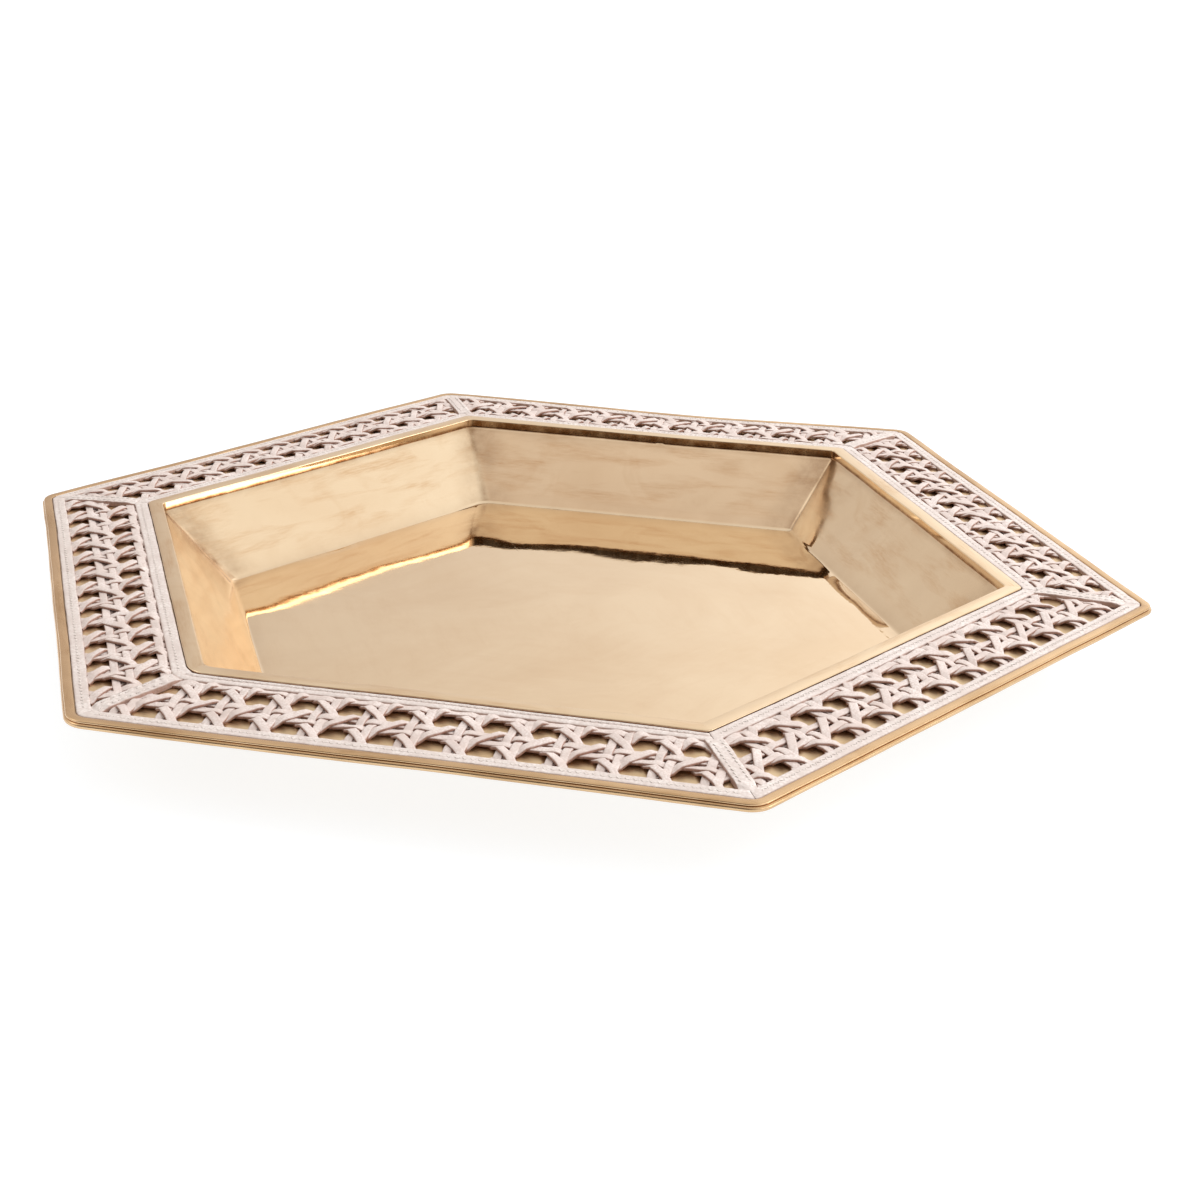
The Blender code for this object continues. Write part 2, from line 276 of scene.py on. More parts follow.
class Nodes:
    """Short names for building a node material."""

    def __init__(self, name):
        self.material = bpy.data.materials.new(name)
        self.material.use_nodes = True
        self.tree = self.material.node_tree
        self.shader = self.tree.nodes["Principled BSDF"]
        self.coords = self.tree.nodes.new("ShaderNodeTexCoord").outputs["Object"]

    def link(self, source, target):
        self.tree.links.new(source, target)

    def noise(self, scale, detail=4.0, roughness=0.55, distortion=0.0):
        node = self.tree.nodes.new("ShaderNodeTexNoise")
        node.inputs["Scale"].default_value = scale
        node.inputs["Detail"].default_value = detail
        node.inputs["Roughness"].default_value = roughness
        node.inputs["Distortion"].default_value = distortion
        self.link(self.coords, node.inputs["Vector"])
        return node.outputs["Fac"]

    def lay_noise(self, scale, detail, narrowing, distortion):
        """Noise drawn out along the nearest side of the tray."""
        lay = self.tree.nodes.new("ShaderNodeAttribute")
        lay.attribute_name = "lay"
        mapping = self.tree.nodes.new("ShaderNodeMapping")
        mapping.inputs["Scale"].default_value = (1.0, narrowing, narrowing)
        self.link(lay.outputs["Vector"], mapping.inputs["Vector"])
        node = self.tree.nodes.new("ShaderNodeTexNoise")
        node.inputs["Scale"].default_value = scale
        node.inputs["Detail"].default_value = detail
        node.inputs["Distortion"].default_value = distortion
        self.link(mapping.outputs["Vector"], node.inputs["Vector"])
        return node.outputs["Fac"]

    def voronoi(self, scale):
        node = self.tree.nodes.new("ShaderNodeTexVoronoi")
        node.inputs["Scale"].default_value = scale
        self.link(self.coords, node.inputs["Vector"])
        return node.outputs["Distance"]

    def scale(self, source, low, high, start=0.0, end=1.0):
        """Map start to end onto low to high, and clamp."""
        node = self.tree.nodes.new("ShaderNodeMapRange")
        node.inputs["From Min"].default_value = start
        node.inputs["From Max"].default_value = end
        node.inputs["To Min"].default_value = low
        node.inputs["To Max"].default_value = high
        self.link(source, node.inputs["Value"])
        return node.outputs["Result"]

    def math(self, operation, first, second):
        node = self.tree.nodes.new("ShaderNodeMath")
        node.operation = operation
        node.use_clamp = operation in ("MULTIPLY", "ADD")
        for index, value in enumerate((first, second)):
            if isinstance(value, (int, float)):
                node.inputs[index].default_value = value
            else:
                self.link(value, node.inputs[index])
        return node.outputs[0]

    def mix(self, factor, first, second):
        """Mix two colours, each a socket or a constant."""
        node = self.tree.nodes.new("ShaderNodeMix")
        node.data_type = "RGBA"
        for index, value in ((0, factor), (6, first), (7, second)):
            socket = node.inputs[index]
            if isinstance(value, (int, float)):
                socket.default_value = value
            elif isinstance(value, tuple):
                socket.default_value = (*value, 1.0)
            else:
                self.link(value, socket)
        return node.outputs[2]

    def mark(self):
        """The per-point mark that a piece's Builder stored."""
        node = self.tree.nodes.new("ShaderNodeAttribute")
        node.attribute_name = "mark"
        return node.outputs["Fac"]

    def bump(self, height, distance, strength=1.0, below=None):
        node = self.tree.nodes.new("ShaderNodeBump")
        node.inputs["Strength"].default_value = strength
        node.inputs["Distance"].default_value = distance
        self.link(height, node.inputs["Height"])
        if below is not None:
            self.link(below, node.inputs["Normal"])
        return node.outputs["Normal"]


# Dark brown that the mark mixes into brass: tarnish, and also painted shade and a painted dark reflection
# below the collar's lip.
TARNISH_AND_PAINTED_SHADE = (0.26, 0.13, 0.055)


def brass(name, roughness, pale, deep, dulling, waves=0.1, streaking=0.66, mirror_below=None):
    """Hand-polished brass: cloudy colour, fine polishing lines, and a dark brown where the mark says so,
    which is partly tarnish and partly painted shade.

    Below the height mirror_below the brass is nearly clean and as good as a mirror.
    """
    n = Nodes(name)
    clouds = n.noise(14.0, 5.0, 0.6, distortion=0.6)
    streaks = n.lay_noise(30.0, 6.0, 4.5, 0.35)
    fine = n.lay_noise(170.0, 4.0, 9.0, 0.1)
    tone = n.mix(n.scale(clouds, 0.0, 0.55, 0.38, 0.66), pale, deep)
    streaked = n.scale(streaks, 0.0, streaking, 0.46, 0.66)
    tinge = n.math("MULTIPLY", streaked, n.scale(fine, 0.35, 1.0, 0.35, 0.65))
    smears = n.noise(30.0, 7.0, 0.62, distortion=1.6)
    tinge = n.math("ADD", tinge, n.scale(smears, 0.0, 0.32, 0.54, 0.78))
    raised = None
    if mirror_below:
        split = n.tree.nodes.new("ShaderNodeSeparateXYZ")
        n.link(n.coords, split.inputs[0])
        raised = n.scale(split.outputs["Z"], 0.0, 1.0, mirror_below, mirror_below * 2.2)
        tinge = n.math("MULTIPLY", tinge, n.scale(raised, 0.15, 1.0))
    copper = tuple(c * f for c, f in zip(deep, (0.86, 0.74, 0.62)))
    warm = n.mix(tinge, tone, copper)
    spots = n.noise(120.0, 4.0, 0.65)
    # Tarnish and painted shade, wherever the mark says so.
    painted_shade_and_tarnish = n.math("MULTIPLY", n.mark(), n.scale(spots, 0.45, 1.25, 0.3, 0.7))
    n.link(n.mix(painted_shade_and_tarnish, warm, TARNISH_AND_PAINTED_SHADE), n.shader.inputs["Base Color"])
    hazy = n.math("MULTIPLY", n.scale(streaks, 0.0, 1.0, 0.38, 0.66), n.scale(fine, 0.45, 1.0))
    rough = n.math("ADD", n.scale(hazy, *roughness), n.math("MULTIPLY", n.mark(), 0.18))
    if mirror_below:
        shiny = n.scale(n.noise(9.0, 4.0, 0.6, distortion=1.0), 0.02, 0.07, 0.42, 0.75)
        rough = n.math("ADD", n.math("MULTIPLY", rough, raised), shiny)
    n.link(rough, n.shader.inputs["Roughness"])
    n.shader.inputs["Metallic"].default_value = 1.0
    lines = n.bump(fine, 0.02 * MM, dulling)
    n.link(n.bump(n.noise(70.0, 3.0), 0.06 * MM, waves, lines), n.shader.inputs["Normal"])
    return n.material


def leather(name, pale, shade, edge, grain_scale, grain_depth):
    """Matte leather: soft blotches, pore grain, and a bare fibrous cut edge where the mark says so; on the
    bands the mark also paints shade into the stitched grooves.
    """
    n = Nodes(name)
    blotch = n.noise(60.0, 4.0, 0.6)
    tone = n.mix(n.scale(blotch, 0.0, 1.0, 0.35, 0.7), pale, shade)
    pores = n.voronoi(grain_scale)
    tone = n.mix(n.scale(pores, 0.0, 0.85, 0.25, 0.75), tone, shade)
    fibre = n.noise(900.0, 3.0, 0.7)
    cut_edge_and_painted_shade = n.math("MULTIPLY", n.mark(), n.scale(fibre, 0.7, 1.2, 0.3, 0.7))
    n.link(n.mix(cut_edge_and_painted_shade, tone, edge), n.shader.inputs["Base Color"])
    n.link(n.scale(pores, 0.82, 0.62, 0.0, 0.6), n.shader.inputs["Roughness"])
    n.shader.inputs["Specular IOR Level"].default_value = 0.3
    n.shader.inputs["Sheen Weight"].default_value = 0.08
    n.shader.inputs["Sheen Roughness"].default_value = 0.5
    coarse = n.bump(n.noise(420.0, 3.0, 0.6), grain_depth, 0.6)
    n.link(n.bump(pores, grain_depth, 0.5, coarse), n.shader.inputs["Normal"])
    return n.material


def thread():
    """Pale twisted thread, darker where it goes into the leather: painted shade of the needle holes."""
    n = Nodes("thread")
    twist = n.noise(1500.0, 2.0, 0.5)
    tone = n.mix(twist, (0.86, 0.82, 0.79), (0.58, 0.51, 0.48))
    n.link(n.mix(n.mark(), tone, (0.34, 0.25, 0.22)), n.shader.inputs["Base Color"])
    n.shader.inputs["Roughness"].default_value = 0.7
    n.link(n.bump(twist, 0.03 * MM, 0.6), n.shader.inputs["Normal"])
    return n.material


POLISHED = brass(
    "polished_brass",
    roughness=(0.08, 0.18),
    pale=(0.90, 0.73, 0.525),
    deep=(0.80, 0.605, 0.405),
    dulling=0.10,
    waves=0.5,
    mirror_below=4.0 * MM,
)
COLLAR_BRASS = brass(
    "collar_brass",
    roughness=(0.06, 0.13),
    pale=(0.90, 0.73, 0.525),
    deep=(0.83, 0.64, 0.43),
    dulling=0.10,
    waves=0.3,
)
SATIN = brass(
    "satin_brass",
    roughness=(0.18, 0.34),
    pale=(0.78, 0.545, 0.325),
    deep=(0.54, 0.36, 0.19),
    dulling=0.5,
)
PLATE = brass(
    "plate_brass",
    roughness=(0.30, 0.48),
    pale=(0.93, 0.75, 0.50),
    deep=(0.80, 0.61, 0.38),
    dulling=0.7,
    streaking=0.35,
)
BAND = leather(
    "band_leather",
    pale=(0.79, 0.735, 0.715),
    shade=(0.60, 0.52, 0.49),
    edge=(0.40, 0.25, 0.20),
    grain_scale=900.0,
    grain_depth=0.11 * MM,
)
LACE = leather(
    "lace_leather",
    pale=(0.77, 0.70, 0.68),
    shade=(0.60, 0.50, 0.465),
    edge=(0.31, 0.16, 0.115),
    grain_scale=1300.0,
    grain_depth=0.07 * MM,
)
THREAD = thread()


# ---------------------------------------------------------------- brass pieces


def outward_from_axis(point):
    """Level unit vector from the tray's axis through a point."""
    return Vector((point.x, point.y, 0)).normalized()


def arc_profile(centre, radius, start, end, steps):
    """Points of an arc in the (distance, height) plane, between two angles in degrees."""
    made = []
    for step in range(steps + 1):
        turn = math.radians(start + (end - start) * step / steps)
        made.append((centre[0] + radius * math.cos(turn), centre[1] + radius * math.sin(turn)))
    return made


def ripple(point, normal, amount, size):
    """Small swell of beaten sheet along its normal."""
    value = noise.noise(point / size + Vector((5.0, 2.0, 8.0)))
    value += 0.5 * noise.noise(point / (size * 0.43) + Vector((1.0, 6.0, 3.0)))
    value += 0.07 * noise.noise(point / (size * 0.17) + Vector((7.0, 3.0, 4.0)))
    return point + normal * (amount * value)


def beaten(amount, size):
    """A swell of the sheet inward and outward, for sweep."""

    def wobble(point, apothem, height):
        return ripple(point, outward_from_axis(point), amount, size)

    return wobble


def sweep(builder, profile, closed, wobble=None):
    """Sweep (distance, height, mark) points round the tray. Returns the loops."""
    loops = []
    for apothem, height, mark in profile:
        loop = []
        for flat in hexagon_loop(apothem):
            point = Vector((flat.x, flat.y, height))
            if wobble:
                point = wobble(point, apothem, height)
            loop.append(builder.add(point, mark))
        loops.append(loop)
    for first, second in zip(loops, loops[1:]):
        builder.quads(first, second)
    if closed:
        builder.quads(loops[-1], loops[0])
    return loops


def make_pan():
    """Pan in one sheet: the inside up to the mouth, then the outside back down to the base."""
    top = COLLAR_BOTTOM - 0.15 * MM
    run = MOUTH - FLOOR
    rise = top - SHEET
    lean = math.degrees(math.atan2(rise, run))
    fillet = 3.2 * MM
    bend = math.radians(lean) / 2
    back_off = fillet * math.tan(bend)
    inner = []
    floor_lines = [0.02, 0.1, 0.2, 0.3, 0.38, 0.44] + [0.5 + 0.05 * step for step in range(10)]
    for share in floor_lines:
        inner.append((FLOOR * share, SHEET, 0.0))
    for apothem, height in arc_profile((FLOOR - back_off, SHEET + fillet), fillet, -90, -90 + lean, 6):
        inner.append((apothem, height, 0.10))
    for step in range(1, 25):
        share = 0.08 + 0.92 * step / 24
        # Painted shade: darkest at the top of the wall under the collar, and faint at the wall's foot.
        shade = 0.30 * smooth(0.93, 1.0, share) + 0.05 * (1 - smooth(0.08, 0.2, share))
        inner.append((FLOOR + run * share, SHEET + rise * share, shade))
    length = math.hypot(run, rise)
    across = SHEET * length / rise
    base = FLOOR + across - SHEET * run / rise
    outer = [(MOUTH + across * 0.9, top, 0.1)]
    for step in range(1, 13):
        share = 1 - step / 12 * 0.92
        outer.append((base + (MOUTH + across - base) * share, top * share, 0.30))
    under = fillet + SHEET
    back_off = under * math.tan(bend)
    bottom_arc = arc_profile((base - back_off, under), under, -90, -90 + lean * 0.8, 5)
    for apothem, height in reversed(bottom_arc):
        outer.append((apothem, height, 0.35))
    for share in reversed(floor_lines):
        outer.append(((base - back_off) * share, 0.0, 0.4))

    def worked(point, apothem, height):
        if height > 0.5 * MM and apothem < MOUTH + 0.1 * MM:
            if height <= SHEET + 0.01 * MM:
                within = 1 - smooth(0.95, 1.0, apothem / FLOOR)
                point = ripple(point, UP, 0.20 * MM * within, 46 * MM)
            else:
                normal = (UP * run - outward_from_axis(point) * rise).normalized()
                within = 1 - smooth(MOUTH - 4 * MM, MOUTH, apothem)
                point = ripple(point, normal, 0.24 * MM * within, 34 * MM)
        return point

    b = Builder()
    loops = sweep(b, inner + outer, False, worked)
    b.cap(loops[0])
    b.cap(loops[-1])
    for index, point in enumerate(b.points):
        if SHEET + 1 * MM < point.z < top:
            b.marks[index] = min(1.0, b.marks[index] + corner_grime(point))
    piece = b.make("tray_pan", POLISHED, 50)
    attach(piece, "root")
    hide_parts("well_pan")


def corner_grime(point):
    """Tarnish that polishing leaves along the seams in the well's corners."""
    angle = math.degrees(math.atan2(point.y, point.x))
    nearest = min(abs(math.remainder(angle - math.degrees(corner_angle(c)), 360)) for c in range(6))
    distance = math.radians(nearest) * math.hypot(point.x, point.y)
    worn = max(0.15, 0.5 + noise.noise(point * 60.0))
    wide = max(0.0, 0.55 + noise.noise(point * 34.0 + Vector((4.0, 1.0, 2.0))))
    seam = 0.50 * (1 - smooth(0.3 * MM, 2.6 * MM, distance)) * worn
    return seam + 0.50 * (1 - smooth(1.0 * MM, 17.0 * MM, distance)) * wide


def make_collar():
    """Lip round the mouth: a face that leans back a little, a rounded edge and a slightly domed top."""
    level = rim_top(LIP_OUTER) + LIP_STANDS_PROUD
    round_in = 0.45 * MM
    lean = 0.12 * MM
    face = MOUTH + lean
    profile = [
        (MOUTH + 0.5 * MM, COLLAR_BOTTOM - 0.3 * MM, 0.8),
        (MOUTH + 0.1 * MM, COLLAR_BOTTOM + 0.1 * MM, 0.6),
    ]
    # The lower part of the face gets the mark: painted shade of the recess under the lip.
    for share in (0.05, 0.2, 0.35, 0.5, 0.65, 0.8, 1.0):
        height = COLLAR_BOTTOM + (level - round_in - COLLAR_BOTTOM) * share
        bulge = 0.02 * MM * math.sin(math.pi * share)
        profile.append((MOUTH + lean * share - bulge, height, 1 - smooth(0.1, 0.62, share)))
    for apothem, height in arc_profile((face + round_in, level - round_in), round_in, 174, 92, 7):
        profile.append((apothem, height, 0.0))
    for share in (0.1, 0.3, 0.5, 0.7, 0.88):
        dome = 0.16 * MM * math.sin(math.pi * share)
        profile.append((face + round_in + (LIP_OUTER - face - round_in) * share, level + dome, 0.0))
    # The lip's outer edge and its face beside the leather get the mark: painted shade in the gap next to
    # the band.
    for apothem, height in arc_profile((LIP_OUTER - 0.3 * MM, level - 0.3 * MM), 0.3 * MM, 80, 0, 3):
        profile.append((apothem, height, 0.15))
    seat = PLATE_DEPTH - 0.3 * MM
    profile.append((LIP_OUTER, level - 0.7 * MM, 0.9))
    profile.append((LIP_OUTER, rim_top(LIP_OUTER) - seat, 1.0))
    profile.append((MOUTH + SHEET, rim_top(MOUTH) - seat, 0.3))
    profile.append((MOUTH + SHEET, COLLAR_BOTTOM - 0.3 * MM, 0.3))

    b = Builder()
    sweep(b, profile, True, beaten(0.14 * MM, 30 * MM))
    # The lower part of the back stretch of the collar's face is painted dark, as a painted dark
    # reflection.
    for index, point in enumerate(b.points):
        back = smooth(0.975, 0.995, point.y / MOUTH)
        below = 1 - smooth(level - 0.55 * MM, level - 0.15 * MM, point.z)
        b.marks[index] = max(b.marks[index], back * below)
    piece = b.make("tray_collar", COLLAR_BRASS, 50)
    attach(piece, "root")
    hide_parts("mouth_collar")


def make_plate():
    """Plate under the leather."""
    inner = MOUTH + SHEET + 0.1 * MM
    outer = BORDER_OUTER - 1.3 * MM
    spread = [inner + (outer - inner) * share for share in (0, 0.12, 0.25, 0.4, 0.55, 0.7, 0.85, 1.0)]
    profile = [(a, rim_top(a) - PLATE_DEPTH, 0.10) for a in spread]
    profile += [(a, rim_top(a) - PLATE_DEPTH - PLATE_THICKNESS, 0.5) for a in reversed(spread)]
    b = Builder()
    sweep(b, profile, True)
    piece = b.make("rim_base_plate", PLATE)
    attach(piece, "root")
    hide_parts("rim_plate")


def make_border():
    """Border strip: a soft inner edge, a flat top, and a thin overhanging outer edge."""
    level = rim_top(BORDER_INNER) + 0.05 * MM
    inner = BORDER_INNER
    seat = rim_top(inner) - PLATE_DEPTH + 0.1 * MM
    profile = [(inner, seat, 0.7), (inner, level - 0.55 * MM, 0.45)]
    for apothem, height in arc_profile((inner + 0.3 * MM, level - 0.3 * MM), 0.3 * MM, 170, 95, 3):
        profile.append((apothem, height, 0.2))
    for share in (0.15, 0.35, 0.6, 0.8):
        bow = 0.10 * MM * math.sin(math.pi * share)
        profile.append((inner + (BORDER_OUTER - inner) * share, level + bow, 0.03))
    for apothem, height in arc_profile((BORDER_OUTER - 0.5 * MM, level - 0.5 * MM), 0.5 * MM, 82, -50, 6):
        profile.append((apothem, height, 0.05))
    profile.append((BORDER_OUTER - 1.3 * MM, level - 1.0 * MM, 0.9))
    profile.append((BORDER_OUTER - 1.4 * MM, seat, 0.9))

    b = Builder()
    sweep(b, profile, True, beaten(0.16 * MM, 22 * MM))
    piece = b.make("border_strip", SATIN, 55)
    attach(piece, "root")
    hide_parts("rim_border")


def make_bead():
    """Rounded bead under the border strip, at the very edge."""
    level = rim_top(BORDER_INNER)
    top = level - 0.95 * MM
    bottom = level - BEAD_BOTTOM_DEPTH
    inner = BORDER_OUTER - 1.25 * MM
    radius = (top - bottom) / 2
    profile = [(inner, bottom, 0.3), (inner, top, 0.95)]
    centre = (RIM_OUTER - radius, (top + bottom) / 2)
    for apothem, height in arc_profile(centre, radius, 90, -90, 10):
        profile.append((apothem, height, 0.10))

    b = Builder()
    sweep(b, profile, True, beaten(0.14 * MM, 26 * MM))
    piece = b.make("outer_bead", SATIN, 60)
    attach(piece, "root")
    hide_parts("edge_bead")


# ---------------------------------------------------------------- leather pieces

# Cross-section of a band: share of the width, height above the rim's top in mm, and mark. The mark gives
# the bare cut edge at the sides and painted shade in the groove at the middle.
FLAT_BAND = (
    (0.00, -1.6, 1.0),
    (0.00, -0.50, 0.9),
    (0.015, -0.16, 0.5),
    (0.05, 0.01, 0.1),
    (0.12, 0.08, 0.0),
    (0.26, 0.10, 0.0),
    (0.40, 0.07, 0.0),
    (0.50, 0.05, 0.05),
    (0.60, 0.07, 0.0),
    (0.74, 0.10, 0.0),
    (0.88, 0.08, 0.0),
    (0.95, 0.01, 0.1),
    (0.985, -0.16, 0.5),
    (1.00, -0.50, 0.9),
    (1.00, -1.6, 1.0),
)
# The folded band of the front side, with two ridges. The mark in the groove between them is painted shade.
FOLDED_BAND = (
    (0.00, -1.6, 1.0),
    (0.00, -0.45, 0.8),
    (0.02, -0.10, 0.4),
    (0.07, 0.12, 0.0),
    (0.15, 0.24, 0.0),
    (0.24, 0.24, 0.0),
    (0.32, 0.12, 0.0),
    (0.37, -0.12, 0.5),
    (0.43, -0.04, 0.2),
    (0.54, 0.14, 0.0),
    (0.66, 0.20, 0.0),
    (0.80, 0.18, 0.0),
    (0.92, 0.08, 0.0),
    (0.97, -0.06, 0.3),
    (0.99, -0.24, 0.7),
    (1.00, -0.55, 0.9),
    (1.00, -1.6, 1.0),
)
# Half the gap in the mitre between two bands, at each corner.
SEAM_GAPS = (0.02 * MM, 0.16 * MM, 0.14 * MM, 0.08 * MM, 0.06 * MM, 0.14 * MM)
BAND_STEPS = 150


def make_band(kind, side, inner, outer, section):
    """Leather strip along one side, mitred at the corners, with a wavering edge and a stitched channel."""
    b = Builder()
    rails = []
    width = outer - inner
    for share, height, mark in section:
        apothem = inner + width * share
        rail = []
        run = side_run(apothem, side)
        for step, flat in enumerate(run):
            place = Vector((flat.x, flat.y, rim_top(apothem) + height * MM))
            waver = noise.noise(place * 120.0 + Vector((side * 3.0, 0, 1))) * 0.14 * MM
            waver += noise.noise(place * 420.0 + Vector((side * 5.0, 2, 1))) * 0.06 * MM
            edge = abs(share - 0.5) * 2
            place += outward_from_axis(flat) * waver * edge
            if height > -1.0:
                place.z += noise.noise(place * 200.0 + Vector((0, side * 2.0, 7))) * 0.10 * MM
                ends = min(step, len(run) - 1 - step)
                place.z -= 0.18 * MM * (1 - smooth(0, 2.0, ends))
            rail.append(b.add(place, mark))
        rails.append(rail)
    b.skin_rails(rails)
    piece = b.make(kind + "_strip_" + SIDES[side], BAND, 60)
    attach(piece, "root")
    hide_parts(kind + "_" + SIDES[side])


def stitch(builder, centre, along, across, length, radius, rise):
    """One short stitch of thread that dives into the leather at both ends."""
    rows = []
    steps = 6
    for step in range(steps + 1):
        share = step / steps
        arch = math.sin(math.pi * share)
        place = centre + along * (length * (share - 0.5)) + UP * (rise * arch - 0.5 * rise)
        row = []
        for turn in range(6):
            angle = math.radians(60 * turn)
            size = radius * (0.55 + 0.45 * arch)
            offset = across * (math.cos(angle) * size) + UP * (math.sin(angle) * size)
            # The mark darkens the thread at both ends: painted shade of the needle holes.
            row.append(builder.add(place + offset, 1 - smooth(0.0, 0.6, arch)))
        rows.append(row)
    builder.skin_rows(rows)


def make_band_stitches(side):
    """Zigzag stitches down both bands of one side."""
    rng = random.Random(100 + side)
    out, along = axes(side_angle(side))
    b = Builder()
    inner_share = 0.5 if side else 0.38  # the front side's folded band has its groove further in
    inner_middle = LEATHER_INNER + inner_share * (INNER_BAND_OUTER - LEATHER_INNER)
    outer_middle = (OUTER_BAND_INNER + LEATHER_OUTER) / 2
    for apothem in (inner_middle, outer_middle):
        reach = apothem * TAN_30 - 4 * MM
        count = int(2 * reach / STITCH_PITCH)
        for index in range(count):
            u = -reach + 2 * reach * (index + 0.5) / count
            lean = math.radians(STITCH_LEAN if index % 2 else -STITCH_LEAN)
            direction = along * math.cos(lean) + out * math.sin(lean)
            sideways = out * math.cos(lean) - along * math.sin(lean)
            v = apothem + rng.uniform(-0.08, 0.08) * MM
            centre = out * v + along * (u + rng.uniform(-0.1, 0.1) * MM)
            centre.z = rim_top(apothem) + 0.06 * MM
            stitch(b, centre, direction, sideways, 1.75 * MM, 0.17 * MM, 0.20 * MM)
    piece = b.make("band_stitches_" + SIDES[side], THREAD, 80)
    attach(piece, "root")


# Cross-section of a lace: share of the half width, share of the half thickness, and mark.
LACE_SECTION = (
    (-0.84, 0.98, 0.0),
    (-0.45, 1.04, 0.0),
    (0.0, 1.06, 0.0),
    (0.45, 1.04, 0.0),
    (0.84, 0.98, 0.0),
    (0.96, 0.72, 0.45),
    (1.0, 0.20, 1.0),
    (0.98, -0.80, 1.0),
    (0.88, -1.0, 1.0),
    (-0.88, -1.0, 1.0),
    (-0.98, -0.80, 1.0),
    (-1.0, 0.20, 1.0),
    (-0.96, 0.72, 0.45),
)
# Heights of a lace's middle above the plate, in mm.
LOW = 0.55
UNDER = 0.80
MIDDLE = 1.30
OVER = 1.75
TOP = 2.30
SHORTEST_LACE = 12  # steps of clipped

def height_along(knots, place):
    """Height at a place from sorted (place, height) knots, with level tangents at each knot."""
    if place <= knots[0][0]:
        return knots[0][1]
    for (first, low), (second, high) in zip(knots, knots[1:]):
        if place <= second:
            return low + (high - low) * smooth(first, second, place)
    return knots[-1][1]


def half_length(apothem, cover):
    """Half the length along a side that laces fill, tucked under the straps by the given amount."""
    return apothem * TAN_30 - (STRAP_WIDTH / 2 - cover) / COS_30


def lace(builder, side, route, knots, rng):
    """Add one lace.

    route is (start, end, place), and place gives (along, apothem) for a distance between them.
    knots give the lace's heights above the plate by distance, in mm.
    """
    out, along = axes(side_angle(side))
    start, end, place = route
    steps = max(4, int((end - start) / (1.15 * MM)))
    width = LACE_WIDTH * rng.uniform(0.93, 1.07)
    thick = LACE_THICKNESS * rng.uniform(0.92, 1.08)
    seed = Vector((rng.uniform(0, 50), rng.uniform(0, 50), rng.uniform(0, 50)))
    centres = []
    for step in range(steps + 1):
        s = start + (end - start) * step / steps
        u, v = place(s)
        drift = noise.noise(seed + Vector((s * 90.0, 0, 0))) * 0.38 * MM
        u2, v2 = place(s + 0.1 * MM)
        du, dv = u2 - u, v2 - v
        size = math.hypot(du, dv)
        u, v = u - dv / size * drift, v + du / size * drift
        high = height_along(knots, s) + noise.noise(seed + Vector((0, s * 140.0, 0))) * 0.12
        from_inner = smooth(-0.3, 2.6, (v - INNER_BAND_OUTER) / MM)
        from_outer = smooth(-0.3, 2.6, (OUTER_BAND_INNER - v) / MM)
        from_strap = smooth(-0.5, 3.0, (half_length(v, 0.0) - abs(u)) / MM)
        high = LOW + (high - LOW) * min(from_inner, from_outer, from_strap)
        centres.append(out * v + along * u + Vector((0, 0, rim_top(v) - PLATE_DEPTH + high * MM)))
    rows = []
    for step, centre in enumerate(centres):
        before = centres[max(0, step - 1)]
        after = centres[min(steps, step + 1)]
        tangent = (after - before).normalized()
        sideways = tangent.cross(UP).normalized()
        up = sideways.cross(tangent).normalized()
        roll = noise.noise(seed + Vector((0, 0, step * 0.13))) * 0.35
        side_axis = sideways * math.cos(roll) + up * math.sin(roll)
        up_axis = up * math.cos(roll) - sideways * math.sin(roll)
        swell = 1 + 0.05 * noise.noise(seed + Vector((step * 0.4, 3, 0)))
        row = []
        for x, z, mark in LACE_SECTION:
            offset = side_axis * (x * width * swell / 2) + up_axis * (z * thick / 2)
            row.append(builder.add(centre + offset, mark))
        rows.append(row)
    builder.skin_rows(rows)


def clipped(place):
    """The distances, in short steps, at which a lace across the rim lies inside the panel."""
    inside = []
    low = INNER_BAND_OUTER - 0.9 * MM
    high = OUTER_BAND_INNER + 0.9 * MM
    s = 166.0 * MM
    while s <= 201.0 * MM:
        u, v = place(s)
        if abs(u) < half_length(v, LACE_TUCK) and low < v < high:
            inside.append(s)
        s += 0.3 * MM
    return inside


